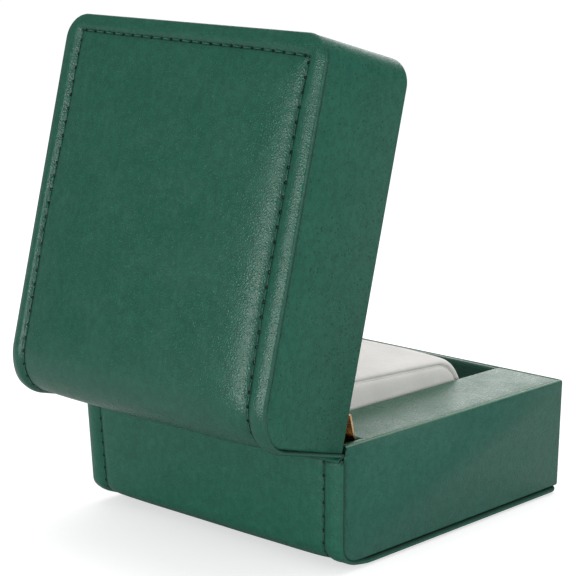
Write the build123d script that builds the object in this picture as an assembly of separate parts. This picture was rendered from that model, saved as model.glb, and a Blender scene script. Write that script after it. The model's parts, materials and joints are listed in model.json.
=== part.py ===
from build123d import *
import math
import os

# Single watch box: a hinged clamshell of boards covered in leathercloth, with a padded cushion inside.
# X runs across the box, Y from the front (-) to the rear (+), Z up. The origin is on the floor,
# under the middle of the base. The lid is modelled shut and then turned to its open rest pose.
# All sizes are in millimetres.

# Overall sizes
box_width = 110.0  # across the outer wrap
box_depth = 125.0  # front face to rear face
base_height = 41.4  # floor to the outer edge of the base rim
lid_height = 43.0  # lid rim to the top of the lid, lid shut
rim_gap = 0.9  # between the two rims when the lid is shut
open_angle = 76.7  # degrees from shut to the open stop

# Outer wrap: one padded strip that runs over the lid, down the rear and under the base
wrap_thickness = 2.8
wrap_skin = 0.8  # leathercloth of the wrap
wrap_overhang = 0.5  # how far the wrap stands out past each side of the body
lid_bend_radius = 14.5  # outside of the wrap's bend
base_bend_radius = 9.0
wrap_front_corner_base = 8.5
wrap_front_corner_lid = 11.0

# Bodies inside the wrap
cover_thickness = 0.8  # leathercloth round the sides and front
board_thickness = 2.5
lid_rear_radius = 9.5  # rear corner of each body, seen from the side
base_rear_radius = 6.2
lid_corner_radius = 9.0  # front corners of the lid, seen from above
lining_thickness = 0.6

# Base interior
channel_width = 52.4  # clear width between the lined walls
inner_wall_thickness = 2.0
cross_wall_thickness = 2.5
hinge_pocket_depth = 7.8  # from the cross wall to the rear board
rim_pad_thickness = 3.1
rim_clearance = 0.1  # between the crown of the padded rims and the shut lid
rim_edge_radius = 1.5
rim_pad_setback = 0.3  # how far the rim pads stop short of the lined wall's face
rim_edge_drop = 0.1  # how far the pads' edges lie below the top of the cover

# Cushion
cushion_clearance = 0.6  # to each channel wall
cushion_lift_gap = 0.3  # to the channel floor
cushion_length = 89.0
cushion_rear_gap = 3.2
cushion_front_height = 45.0  # its underside to its top, at the front
cushion_rise = 2.0  # how much higher its top is at the rear
cushion_top_radius = 21.0
cushion_bottom_radius = 16.0
cushion_skin = 0.8

# Lid interior
lid_pad_thickness = 4.5
lid_pad_margin = 4.6  # from the lined walls to the pad
lid_pad_radius = 2.0

# Hinges
pivot_from_rear = 1.7
pivot_below_rim = 0.95
hinge_side_gap = 0.2  # to the board or lining beside it
hinge_knuckles = 3
knuckle_gap = 0.3
barrel_radius = 1.25
pin_radius = 0.7
pin_clearance = 0.05
leaf_thickness = 0.8
base_leaf_drop = 12.0  # length of its flange below the board's top
lid_leaf_rise = 13.6  # length of its flange above the board's end
blade_thickness = 0.7
blade_inset = 3.4  # from the inner edge of the leaves to that of the blade
blade_foot_drop = 1.5  # from the rim down to its first bend
blade_drop = 9.0  # length of its flange below that bend
blade_knee_rise = 3.1  # its second bend, above and behind the first
blade_knee_lean = 2.5
blade_rise = 10.3  # its free end, above and behind the first bend
blade_lean = 4.6
blade_bend_radius = 1.4
wrap_end_gap = 0.3  # between each end of the wrap and the hinge straps
strap_below_rim = 0.8  # from the rim plane of the lid to its hinge straps
strap_web_lead = 0.2  # how far a lid strap passes the pin
fold_gap = 0.05
fold_bulge = 0.6

# Screws of the hinges
screw_radius = 0.8
screw_head_radius = 1.6
screw_head_height = 0.8
screw_bite = 2.0
leaf_screw_margin = 5.5  # from each edge of a leaf to the screw beside it
blade_screw_margin = 3.5
base_screw_drop = 7.0
blade_screw_drop = 5.0
lid_screw_rise = 10.6

beyond = 1.0  # how far a cutting block runs past what it cuts

# Places worked out from the sizes
half_width = box_width / 2
front = -box_depth / 2
rear = box_depth / 2
lid_rim = base_height + rim_gap
lid_top = lid_rim + lid_height

body_half = half_width - wrap_overhang
board_half = body_half - cover_thickness
inner_half = board_half - board_thickness
board_front = front + cover_thickness
inner_front = board_front + board_thickness
body_rear = rear - wrap_thickness
inner_rear = body_rear - board_thickness
base_bottom = wrap_thickness
floor_top = base_bottom + board_thickness
board_top = base_height - rim_pad_thickness
lid_body_top = lid_top - wrap_thickness
lid_ceiling = lid_body_top - board_thickness
lid_board_end = lid_rim + lining_thickness

cross_wall_rear = inner_rear - hinge_pocket_depth
cross_wall_front = cross_wall_rear - cross_wall_thickness
channel_half = channel_width / 2
channel_front = inner_front + lining_thickness
channel_rear = cross_wall_front - lining_thickness
channel_floor = floor_top + lining_thickness
wall_inner = channel_half + lining_thickness
wall_outer = wall_inner + inner_wall_thickness
rim_inner = channel_half + rim_pad_setback

pivot_y = rear - pivot_from_rear
pivot_z = base_height - pivot_below_rim
hinge_outer = inner_half - hinge_side_gap
hinge_inner = wall_outer + hinge_side_gap
hinge_width = hinge_outer - hinge_inner
blade_outer = inner_half - lining_thickness - hinge_side_gap
blade_inner = hinge_inner + blade_inset
strap_board_end = lid_rim + strap_below_rim + leaf_thickness

wrap_end_base = board_top - wrap_end_gap
wrap_end_lid = strap_board_end + wrap_end_gap


def block(x_range, y_range, z_range):
    """Rectangular block between the given limits."""
    centre = [(low + high) / 2 for low, high in (x_range, y_range, z_range)]
    lengths = [high - low for low, high in (x_range, y_range, z_range)]
    return Pos(*centre) * Box(*lengths)


def mirrored(shape):
    """The same piece on the other side of the box."""
    return mirror(shape, about=Plane.YZ)


def both_sides(shapes):
    """The given pieces and their mirror images."""
    shapes = list(shapes)
    return shapes + [mirrored(shape) for shape in shapes]


def across(face, x_low, x_high):
    """Solid with the given section in Y and Z, between two places along X."""
    return extrude(Plane.YZ.offset(x_low) * face, amount=x_high - x_low, dir=(1, 0, 0))


def rod_along_x(x_low, x_high, y, z, radius):
    return across(Pos(y, z) * Circle(radius), x_low, x_high)


def rod_along_y(x, y_low, y_high, z, radius):
    disc = Plane.XZ.offset(-y_low) * Pos(x, z) * Circle(radius)
    return extrude(disc, amount=y_high - y_low, dir=(0, 1, 0))


def rounded_rear(y_front, y_rear, z_flat, z_end, radius):
    """Section in Y and Z whose one rear corner, on the flat side, is round."""
    sense = 1 if z_end > z_flat else -1
    bulge = radius * (1 - math.sqrt(0.5))
    corner = ThreePointArc(
        (y_rear - radius, z_flat),
        (y_rear - bulge, z_flat + sense * bulge),
        (y_rear, z_flat + sense * radius),
    )
    sides = Polyline(
        (y_rear, z_flat + sense * radius),
        (y_rear, z_end),
        (y_front, z_end),
        (y_front, z_flat),
        (y_rear - radius, z_flat),
    )
    return make_face([corner, sides])


def plan_prism(half, y_front, y_rear, radius, z_range):
    """Upright prism whose two front corners are round in plan."""
    plan = Pos(0, (y_front + y_rear) / 2) * Rectangle(2 * half, y_rear - y_front)
    plan = fillet(plan.vertices().group_by(Axis.Y)[0], radius)
    return Pos(0, 0, z_range[0]) * extrude(plan, amount=z_range[1] - z_range[0])


def wrap_strip(z_flat, z_end, front_corner, inset):
    """The bent wrap of one body, shrunk by inset on every side but its inner one."""
    sense = 1 if z_end > z_flat else -1
    bend_radius = base_bend_radius if sense == 1 else lid_bend_radius
    rear_radius = base_rear_radius if sense == 1 else lid_rear_radius
    outer = across(
        rounded_rear(
            front + inset,
            rear - inset,
            z_flat + sense * inset,
            z_end - sense * inset,
            bend_radius - inset,
        ),
        inset - half_width,
        half_width - inset,
    )
    z_range = sorted((z_flat, z_end))
    outer &= plan_prism(half_width - inset, front + inset, rear, front_corner - inset, z_range)
    inner = across(
        rounded_rear(
            front - beyond,
            body_rear,
            z_flat + sense * wrap_thickness,
            z_end + sense * beyond,
            rear_radius,
        ),
        -half_width - beyond,
        half_width + beyond,
    )
    return outer - inner


def body_block(half, y_front, y_rear, z_flat, z_end, radius):
    """Block of a body with its rear corner round."""
    return across(rounded_rear(y_front, y_rear, z_flat, z_end, radius), -half, half)


def corner_filler(z_flat, sense, radius):
    """Strip that fills the round rear corner of a body, between the side boards."""
    y_range = (body_rear - radius, body_rear)
    z_range = sorted((z_flat, z_flat + sense * radius))
    whole = body_block(inner_half, front, body_rear, z_flat, z_flat + sense * lid_height, radius)
    return whole & block((-inner_half, inner_half), y_range, z_range)


def screw(x, y_face, z, sense):
    """Round-head screw lying along Y, with its head on a leaf's face at y_face."""
    head = sorted((y_face, y_face - sense * screw_head_height))
    shank = sorted((y_face, y_face + sense * (leaf_thickness + screw_bite)))
    return rod_along_y(x, *head, z, screw_head_radius) + rod_along_y(x, *shank, z, screw_radius)


def screw_places(outer, inner, margin):
    """The two places across a leaf, on the left side of the box."""
    return [margin - outer, -inner - margin]


def opened(shape):
    """Turn a piece of the shut lid to the open rest pose."""
    return shape.rotate(Axis((0, pivot_y, pivot_z), (1, 0, 0)), -open_angle)


def opened_place(y, z):
    """Where a place in the section of the shut lid goes when the lid opens."""
    turned = Vector(y - pivot_y, z - pivot_z).rotate(Axis.Z, -open_angle)
    return Vector(pivot_y, pivot_z) + turned


nodes = {}

# Places of the screws, used for the holes and for the screws themselves
leaf_screw_x = screw_places(hinge_outer, hinge_inner, leaf_screw_margin)
blade_screw_x = screw_places(blade_outer, blade_inner, blade_screw_margin)
base_screw_z = board_top - base_screw_drop
blade_screw_z = board_top - blade_screw_drop
lid_screw_z = strap_board_end + lid_screw_rise
base_leaf_face = inner_rear - leaf_thickness
blade_face = cross_wall_rear + blade_thickness


base_screws = both_sides(
    [screw(x, base_leaf_face, base_screw_z, 1) for x in leaf_screw_x]
    + [screw(x, blade_face, blade_screw_z, -1) for x in blade_screw_x]
)
lid_screws = both_sides(screw(x, base_leaf_face, lid_screw_z, 1) for x in leaf_screw_x)

# Base: wrap with its stiffener
base_strip = wrap_strip(0, wrap_end_base, wrap_front_corner_base, 0)
nodes["base_wrap_stiffener"] = wrap_strip(0, wrap_end_base, wrap_front_corner_base, wrap_skin)
nodes["base_wrap"] = base_strip - nodes["base_wrap_stiffener"]

# Base: boards of the carcass
base_body = body_block(body_half, front, body_rear, base_bottom, base_height, base_rear_radius)
nodes["base_cover"] = base_body - block(
    (-board_half, board_half), (board_front, rear), (0, lid_top)
)
base_side = across(
    rounded_rear(board_front, body_rear, base_bottom, board_top, base_rear_radius),
    -board_half,
    -inner_half,
)
nodes["base_side_board_left"] = base_side
nodes["base_side_board_right"] = mirrored(base_side)
nodes["base_front_board"] = block(
    (-inner_half, inner_half), (board_front, inner_front), (base_bottom, board_top)
) + block(
    (-rim_inner, rim_inner), (board_front, inner_front), (board_top, base_height - lining_thickness)
)
nodes["base_floor_board"] = block(
    (-inner_half, inner_half), (inner_front, body_rear - base_rear_radius), (base_bottom, floor_top)
)
nodes["base_corner_filler"] = corner_filler(base_bottom, 1, base_rear_radius)
filler_top = base_bottom + base_rear_radius
nodes["base_rear_board"] = block(
    (-inner_half, inner_half), (inner_rear, body_rear), (filler_top, board_top)
) - base_screws
nodes["cross_wall"] = block(
    (-inner_half, inner_half), (cross_wall_front, cross_wall_rear), (floor_top, board_top)
) - base_screws
inner_wall = block(
    (-wall_outer, -wall_inner), (inner_front, cross_wall_front), (floor_top, board_top)
) + block(
    (-wall_outer, -wall_inner), (cross_wall_rear, inner_rear), (filler_top, board_top)
)
nodes["inner_wall_left"] = inner_wall
nodes["inner_wall_right"] = mirrored(inner_wall)

# Base: padded rims, with a slight crown across their width
rim_edge = base_height - rim_edge_drop
rim_peak = lid_rim - rim_clearance
crown_inner = rim_inner + rim_edge_radius
crown_peak = (crown_inner + board_half) / 2
edge_bulge = rim_edge_radius * (1 - math.sqrt(0.5))
rim_sides = Polyline(
    (-rim_inner, rim_edge - rim_edge_radius),
    (-rim_inner, board_top),
    (-board_half, board_top),
    (-board_half, rim_edge),
)
rim_top = ThreePointArc(
    (-board_half, rim_edge), (-crown_peak, rim_peak), (-crown_inner, rim_edge)
)
rim_shoulder = ThreePointArc(
    (-crown_inner, rim_edge),
    (-rim_inner - edge_bulge, rim_edge - edge_bulge),
    (-rim_inner, rim_edge - rim_edge_radius),
)
rim_section = make_face([rim_sides, rim_top, rim_shoulder])
rim_length = body_rear - board_front
rim_whole = extrude(Plane.XZ.offset(-board_front) * rim_section, amount=rim_length, dir=(0, 1, 0))
pocket_cut = block((-inner_half, 0), (cross_wall_rear, rear), (0, lid_top))
nodes["base_rim_left"] = rim_whole - pocket_cut
nodes["base_rim_right"] = mirrored(nodes["base_rim_left"])
rear_rim = block(
    (-wall_outer, wall_outer), (cross_wall_rear, body_rear), (board_top, base_height)
) + block(
    (-rim_inner, rim_inner), (channel_rear, cross_wall_rear), (board_top, base_height)
)
nodes["base_rear_rim"] = rear_rim

# Base: lining of the channel, with a lip over the front board
lining = block((-wall_inner, wall_inner), (inner_front, cross_wall_front), (floor_top, board_top))
lining -= block((-channel_half, channel_half), (channel_front, channel_rear), (channel_floor, lid_rim))
lining += block((-rim_inner, rim_inner), (inner_front, channel_front), (board_top, base_height))
lining += block(
    (-rim_inner, rim_inner), (board_front, channel_front), (base_height - lining_thickness, base_height)
)
nodes["channel_lining"] = lining

# Cushion: foam core, a band round it and a panel on each side
cushion_half = channel_half - cushion_clearance
cushion_rear = channel_rear - cushion_rear_gap
cushion_front = cushion_rear - cushion_length
cushion_bottom = channel_floor + cushion_lift_gap
cushion_top = cushion_bottom + cushion_front_height


def cushion_outline(inset):
    """Side outline of the cushion, a rounded oblong a little higher at the rear."""
    corners = [
        (cushion_front + inset, cushion_bottom + inset),
        (cushion_rear - inset, cushion_bottom + inset),
        (cushion_rear - inset, cushion_top + cushion_rise - inset),
        (cushion_front + inset, cushion_top - inset),
    ]
    radii = [cushion_bottom_radius, cushion_bottom_radius, cushion_top_radius, cushion_top_radius]
    return make_face(FilletPolyline(*corners, radius=[r - inset for r in radii], close=True))


core_half = cushion_half - cushion_skin
nodes["cushion_core"] = across(cushion_outline(cushion_skin), -core_half, core_half)
nodes["cushion_band"] = (
    across(cushion_outline(0), -core_half, core_half) - nodes["cushion_core"]
)
nodes["cushion_panel_left"] = across(cushion_outline(0), -cushion_half, -core_half)
nodes["cushion_panel_right"] = mirrored(nodes["cushion_panel_left"])

# Hinges: leaves with interleaved knuckles, pins and spring blades
knuckle_pitch = (hinge_width + knuckle_gap) / hinge_knuckles
knuckle_width = knuckle_pitch - knuckle_gap


def knuckles(indices, strap):
    """Barrels of one leaf with the strap that carries each of them."""
    pieces = []
    for index in indices:
        low = index * knuckle_pitch - hinge_outer
        high = low + knuckle_width
        pieces.append(rod_along_x(low, high, pivot_y, pivot_z, barrel_radius))
        pieces.append(strap(low, high))
    return pieces


def base_strap(low, high):
    level = (board_top, board_top + leaf_thickness)
    return block((low, high), (base_leaf_face, pivot_y), level) + block(
        (low, high), (pivot_y - leaf_thickness, pivot_y), (board_top, pivot_z)
    )


def lid_strap(low, high):
    web_rear = pivot_y + strap_web_lead
    level = (strap_board_end - leaf_thickness, strap_board_end)
    return block((low, high), (base_leaf_face, web_rear), level) + block(
        (low, high), (web_rear - leaf_thickness, web_rear), (pivot_z, strap_board_end)
    )


hinge_x = (-hinge_outer, -hinge_inner)
bore = rod_along_x(-half_width, 0, pivot_y, pivot_z, pin_radius + pin_clearance)
base_leaf = block(
    hinge_x, (base_leaf_face, inner_rear), (board_top - base_leaf_drop, board_top + leaf_thickness)
)
base_leaf += knuckles(range(0, hinge_knuckles, 2), base_strap)
base_leaf = base_leaf - bore - base_screws
lid_leaf = block(
    hinge_x,
    (base_leaf_face, inner_rear),
    (strap_board_end - leaf_thickness, strap_board_end + lid_leaf_rise),
)
lid_leaf += knuckles(range(1, hinge_knuckles, 2), lid_strap)
lid_leaf = lid_leaf - bore - lid_screws
pin = rod_along_x(-hinge_outer, -hinge_inner, pivot_y, pivot_z, pin_radius)

blade_middle = cross_wall_rear + blade_thickness / 2
blade_foot = base_height - blade_foot_drop
blade_path = FilletPolyline(
    (blade_middle, blade_foot - blade_drop),
    (blade_middle, blade_foot),
    (blade_middle + blade_knee_lean, blade_foot + blade_knee_rise),
    (blade_middle + blade_lean, blade_foot + blade_rise),
    radius=blade_bend_radius,
)
blade = across(trace(blade_path, line_width=blade_thickness), -blade_outer, -blade_inner)
blade -= base_screws

nodes["hinge_base_leaf_left"] = base_leaf
nodes["hinge_base_leaf_right"] = mirrored(base_leaf)
nodes["hinge_pin_left"] = pin
nodes["hinge_pin_right"] = mirrored(pin)
nodes["hinge_spring_blade_left"] = blade
nodes["hinge_spring_blade_right"] = mirrored(blade)
nodes["hinge_base_screws"] = Compound(children=base_screws)

# Leathercloth fold that joins the two halves of the wrap, in its open shape
fold_start = Vector(rear - wrap_skin / 4, wrap_end_base + wrap_skin / 2 + fold_gap)
fold_end = opened_place(rear - wrap_skin / 4, wrap_end_lid - wrap_skin / 2 - fold_gap)
fold_chord = fold_end - fold_start
fold_out = Vector(fold_chord.Y, -fold_chord.X).normalized()
fold_path = ThreePointArc(fold_start, (fold_start + fold_end) / 2 + fold_out * fold_bulge, fold_end)
nodes["hinge_fold"] = across(trace(fold_path, line_width=wrap_skin), -half_width, half_width)

# Lid: wrap with its foam
lid_strip = wrap_strip(lid_top, wrap_end_lid, wrap_front_corner_lid, 0)
lid_foam = wrap_strip(lid_top, wrap_end_lid, wrap_front_corner_lid, wrap_skin)
lid_nodes = {"lid_wrap_foam": lid_foam, "lid_wrap": lid_strip - lid_foam}

# Lid: boards of the carcass
board_corner = lid_corner_radius - cover_thickness
inner_corner = board_corner - board_thickness
lid_levels = (lid_rim, lid_body_top)
rear_shape = body_block(body_half, front, body_rear, lid_body_top, lid_rim, lid_rear_radius)
lid_shell = plan_prism(body_half, front, rear, lid_corner_radius, lid_levels)
lid_within = plan_prism(board_half, board_front, rear, board_corner, lid_levels)
lid_nodes["lid_cover"] = (lid_shell - lid_within) & rear_shape
lid_side = across(
    rounded_rear(
        front + lid_corner_radius, body_rear, lid_body_top, lid_board_end, lid_rear_radius
    ),
    -board_half,
    -inner_half,
)
lid_nodes["lid_side_board_left"] = lid_side
lid_nodes["lid_side_board_right"] = mirrored(lid_side)
front_half = body_half - lid_corner_radius
lid_nodes["lid_front_board"] = block(
    (-front_half, front_half), (board_front, inner_front), (lid_board_end, lid_body_top)
)
post_ring = plan_prism(board_half, board_front, rear, board_corner, (lid_board_end, lid_body_top))
post_ring -= plan_prism(inner_half, inner_front, rear, inner_corner, lid_levels)
lid_post = post_ring & block(
    (-board_half, -front_half), (board_front, front + lid_corner_radius), (0, lid_top)
)
lid_nodes["lid_corner_post_left"] = lid_post
lid_nodes["lid_corner_post_right"] = mirrored(lid_post)
lid_nodes["lid_top_board"] = plan_prism(
    inner_half, inner_front, body_rear - lid_rear_radius, inner_corner, (lid_ceiling, lid_body_top)
)
lid_nodes["lid_corner_filler"] = corner_filler(lid_body_top, -1, lid_rear_radius)
filler_bottom = lid_body_top - lid_rear_radius
strap_notch = block(
    (-hinge_outer - hinge_side_gap, -hinge_inner + hinge_side_gap),
    (front, rear),
    (0, strap_board_end),
)
lid_rear = block((-inner_half, inner_half), (inner_rear, body_rear), (lid_board_end, filler_bottom))
lid_nodes["lid_rear_board"] = lid_rear - both_sides([strap_notch]) - lid_screws

# Lid: lining with a lip round the rim, and the padded panel under the top board
lined_half = inner_half - lining_thickness
lined_front = inner_front + lining_thickness
lined_rear = inner_rear - lining_thickness
lined_top = lid_ceiling - lining_thickness
lined_corner = inner_corner - lining_thickness
filler_front = body_rear - lid_rear_radius
filler_room = block((-inner_half, inner_half), (filler_front, rear), (filler_bottom, lid_top))
lined_filler = block(
    (-inner_half, inner_half),
    (filler_front - lining_thickness, rear),
    (filler_bottom - lining_thickness, lid_top),
)
lid_lining = plan_prism(inner_half, inner_front, inner_rear, inner_corner, (lid_rim, lid_ceiling))
lid_lining += plan_prism(board_half, board_front, body_rear, board_corner, (lid_rim, lid_board_end))
lid_hollow = plan_prism(lined_half, lined_front, lined_rear, lined_corner, (0, lined_top))
lid_lining -= lid_hollow - lined_filler
leaf_window = block(
    (-hinge_outer - hinge_side_gap, -hinge_inner + hinge_side_gap),
    (lined_rear - beyond, rear),
    (0, strap_board_end + lid_leaf_rise + hinge_side_gap),
)
lid_nodes["lid_lining"] = lid_lining - filler_room - both_sides([leaf_window])
pad_half = lined_half - lid_pad_margin
lid_pad = block(
    (-pad_half, pad_half),
    (lined_front + lid_pad_margin, filler_front - lid_pad_margin),
    (lined_top - lid_pad_thickness, lined_top),
)
lid_pad = fillet(lid_pad.edges().group_by(Axis.Z)[0] + lid_pad.edges().filter_by(Axis.Z), lid_pad_radius)
lid_nodes["lid_inner_pad"] = lid_pad

# Lid: its hinge leaves and screws
lid_nodes["hinge_lid_leaf_left"] = lid_leaf
lid_nodes["hinge_lid_leaf_right"] = mirrored(lid_leaf)
lid_nodes["hinge_lid_screws"] = Compound(children=lid_screws)

for name, shape in lid_nodes.items():
    nodes[name] = opened(shape)

os.makedirs("parts", exist_ok=True)
for name, shape in nodes.items():
    export_step(shape, f"parts/{name}.step")
    size = shape.bounding_box().size
    print(f"{name:28s} {len(shape.solids()):2d} solids {size.X:7.2f} {size.Y:7.2f} {size.Z:7.2f}")
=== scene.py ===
import json
import math

import bmesh
import bpy
from mathutils import Matrix, Vector, noise


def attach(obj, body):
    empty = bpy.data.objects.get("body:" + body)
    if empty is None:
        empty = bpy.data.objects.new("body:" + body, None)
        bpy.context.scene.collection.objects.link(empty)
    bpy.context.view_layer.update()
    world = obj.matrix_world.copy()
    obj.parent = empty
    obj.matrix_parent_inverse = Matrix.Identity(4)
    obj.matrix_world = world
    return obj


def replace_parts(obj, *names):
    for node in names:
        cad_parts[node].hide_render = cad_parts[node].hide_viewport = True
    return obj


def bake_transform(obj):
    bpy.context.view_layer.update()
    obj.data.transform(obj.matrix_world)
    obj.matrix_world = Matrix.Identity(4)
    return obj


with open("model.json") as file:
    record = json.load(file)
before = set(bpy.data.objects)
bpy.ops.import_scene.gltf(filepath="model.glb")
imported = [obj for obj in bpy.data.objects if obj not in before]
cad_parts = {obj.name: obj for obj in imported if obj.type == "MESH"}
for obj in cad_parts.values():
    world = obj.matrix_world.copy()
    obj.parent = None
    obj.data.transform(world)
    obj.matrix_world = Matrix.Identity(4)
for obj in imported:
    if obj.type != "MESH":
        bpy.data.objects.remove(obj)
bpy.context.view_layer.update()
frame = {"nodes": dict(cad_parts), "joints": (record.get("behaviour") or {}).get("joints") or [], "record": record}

# Sizes are in millimetres until a piece is finished. Z is up and +Y is the hinge side.
MM = 0.001
FRONT, REAR = -62.5, 62.5
HALF = 55.0
BODY_HALF = 54.5
BODY_REAR = 59.7
BASE_TOP = 42.1
LID_RIM, LID_TOP = 42.3, 85.3
LID_BEND, BASE_BEND = 14.5, 9.0
WRAP_DEPTH = 2.8
COVER_THICKNESS = 0.6
SIDE_PITCH, FRONT_PITCH = 4.5, 4.25
CUSHION_HALF, CUSHION_BAND_HALF, CUSHION_SEAM_FROM = 25.0, 23.3, 22.0
# The +X edge of both wraps stands out beyond the rest, and so does the rear edge of the lid.
WRAP_FAR_OUT, LID_REAR_OUT = 0.9, 1.7

lid_joint = next(joint for joint in frame["joints"] if joint["name"] == "lid_hinge")
HINGE = Vector(lid_joint["pos_m"])
OPEN_ANGLE = math.radians(-lid_joint["range_deg"][0])


def smooth(low, high, value):
    """Smooth step from 0 at low to 1 at high."""
    share = min(1.0, max(0.0, (value - low) / (high - low)))
    return share * share * (3 - 2 * share)


def along(points, value):
    """Smooth curve through (place, height) points, flat at each of them."""
    for (low, first), (high, second) in zip(points, points[1:]):
        if value <= high:
            return first + (second - first) * smooth(low, high, value)
    return points[-1][1]


def ripple(*place):
    """Smooth noise between about -1 and 1 that is the same on each run."""
    return noise.noise(Vector(place), noise_basis="PERLIN_ORIGINAL")


def pucker(steps):
    """How far the leathercloth is drawn in, from 1 at a stitch hole to 0 between two holes."""
    return 0.5 + 0.5 * math.cos(2 * math.pi * steps)


def far_share(x):
    """Place across the box, from 0 at its -X side to 1 at its +X side."""
    return min(1.0, max(0.0, (x + HALF) / (2 * HALF)))


# Materials


class Value:
    """An output of a node. Arithmetic on it adds Math nodes."""

    def __init__(self, tree, socket):
        self.tree, self.socket = tree, socket

    def math(self, operation, *others):
        node = self.tree.nodes.new("ShaderNodeMath")
        node.operation = operation
        for slot, item in zip(node.inputs, (self, *others)):
            feed(self.tree, slot, item)
        return Value(self.tree, node.outputs[0])

    def __add__(self, other):
        return self.math("ADD", other)

    def __sub__(self, other):
        return self.math("SUBTRACT", other)

    def __mul__(self, other):
        return self.math("MULTIPLY", other)

    def __rsub__(self, other):
        return (self * -1.0).math("ADD", other)

    __radd__, __rmul__ = __add__, __mul__


def feed(tree, slot, item):
    """Link an output to a socket, or set the socket to a number or a colour."""
    if isinstance(item, Value):
        tree.links.new(item.socket, slot)
    else:
        slot.default_value = item


class Finish:
    """A material being made. Places on it are object coordinates in millimetres."""

    def __init__(self, name, roughness, metallic=0.0, specular=0.5):
        self.material = bpy.data.materials.new(name)
        self.material.use_nodes = True
        self.tree = self.material.node_tree
        self.shader = self.tree.nodes["Principled BSDF"]
        self.shader.inputs["Roughness"].default_value = roughness
        self.shader.inputs["Metallic"].default_value = metallic
        self.shader.inputs["Specular IOR Level"].default_value = specular
        coordinates = self.node("TexCoord", output="Object")
        self.place = self.node("VectorMath", {"operation": "SCALE"}, Vector=coordinates, Scale=1 / MM)

    def node(self, kind, settings=None, output=0, items=(), **values):
        """A node of a kind. Items go to its first sockets in order, and values to sockets by name."""
        node = self.tree.nodes.new("ShaderNode" + kind)
        for key, setting in (settings or {}).items():
            setattr(node, key, setting)
        for slot, item in zip(node.inputs, items):
            feed(self.tree, slot, item)
        for key, item in values.items():
            slots = [slot for slot in node.inputs if slot.name == key.replace("_", " ") and slot.enabled]
            feed(self.tree, slots[0], item)
        return Value(self.tree, node.outputs[output])

    def parts(self, vector):
        """The three parts of a vector."""
        split = self.node("SeparateXYZ", Vector=vector).socket.node
        return [Value(self.tree, output) for output in split.outputs]

    def noise(self, size, detail=3.0, roughness=0.5, distortion=0.0, place=None):
        """Noise with features of about that many millimetres, from 0 to 1."""
        return self.node(
            "TexNoise",
            Vector=place or self.place,
            Scale=1 / size,
            Detail=detail,
            Roughness=roughness,
            Distortion=distortion,
        )

    def cells(self, size, feature, place):
        """Cells of about that many millimetres, with the distance from their middles or their edges."""
        return self.node("TexVoronoi", {"feature": feature}, "Distance", Vector=place, Scale=1 / size)

    def bent_place(self, size, amount):
        """Places pushed about by noise, so that patterns on them look natural."""
        push = self.node("TexNoise", output="Color", Vector=self.place, Scale=1 / size, Detail=2.0)
        centred = self.node("VectorMath", {"operation": "SUBTRACT"}, items=(push, (0.5, 0.5, 0.5)))
        scaled = self.node("VectorMath", {"operation": "SCALE"}, Vector=centred, Scale=amount)
        return self.node("VectorMath", {"operation": "ADD"}, items=(self.place, scaled))

    def remap(self, value, low, high, to_low=0.0, to_high=1.0):
        """Smoothly turn a range of a value into another range."""
        return self.node(
            "MapRange",
            {"interpolation_type": "SMOOTHSTEP"},
            Value=value,
            From_Min=low,
            From_Max=high,
            To_Min=to_low,
            To_Max=to_high,
        )

    def mix(self, share, first, second):
        """Colour between two colours."""
        node = self.tree.nodes.new("ShaderNodeMix")
        node.data_type = "RGBA"
        feed(self.tree, node.inputs[0], share)
        for slot, colour in ((node.inputs[6], first), (node.inputs[7], second)):
            feed(self.tree, slot, colour if isinstance(colour, Value) else (*colour, 1))
        return Value(self.tree, node.outputs[2])

    def bump(self, height, depth):
        """Relief of that many millimetres where the height goes from 0 to 1."""
        normal = self.node("Bump", Strength=1.0, Distance=depth * MM, Height=height)
        feed(self.tree, self.shader.inputs["Normal"], normal)

    def paint(self, colour, roughness=None):
        if not isinstance(colour, Value):
            colour = (*colour, 1)
        feed(self.tree, self.shader.inputs["Base Color"], colour)
        if roughness is not None:
            feed(self.tree, self.shader.inputs["Roughness"], roughness)


# Linear colours of leathercloth: plain, painted shade in its hollows, and its paler clouds
WRAP_SHADES = ((0.0145, 0.102, 0.066), (0.008, 0.064, 0.040), (0.018, 0.112, 0.074))
# The base's wrap is the lid's leathercloth, painted lighter to stand in for light that the lid's overhang keeps
# off it
BASE_WRAP_SHADES_PAINTED_LIGHTER = tuple(tuple(share * 1.22 for share in shade) for shade in WRAP_SHADES)
SIDE_SHADES = ((0.0190, 0.129, 0.084), (0.005, 0.048, 0.032), (0.023, 0.140, 0.092))
BASE_SIDE_SHADES = ((0.025, 0.124, 0.087), (0.008, 0.056, 0.040), (0.030, 0.134, 0.096))
RIM_SHADES = ((0.021, 0.132, 0.076), (0.010, 0.072, 0.043), (0.027, 0.146, 0.085))
LINING_SHADES = ((0.014, 0.084, 0.054), (0.007, 0.046, 0.030), (0.017, 0.094, 0.062))

# Painted highlight for the base's turned top edge
PAINTED_EDGE_HIGHLIGHT = (0.33, 0.44, 0.35)
# Painted shade along the stitch lines, under the wraps' rolled edges and in the stitch holes
PAINTED_SEAM_SHADE = (0.004, 0.026, 0.018)
PAINTED_EDGE_SHADE = (0.005, 0.032, 0.021)
PAINTED_HOLE_SHADE = (0.002, 0.006, 0.005)


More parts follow.
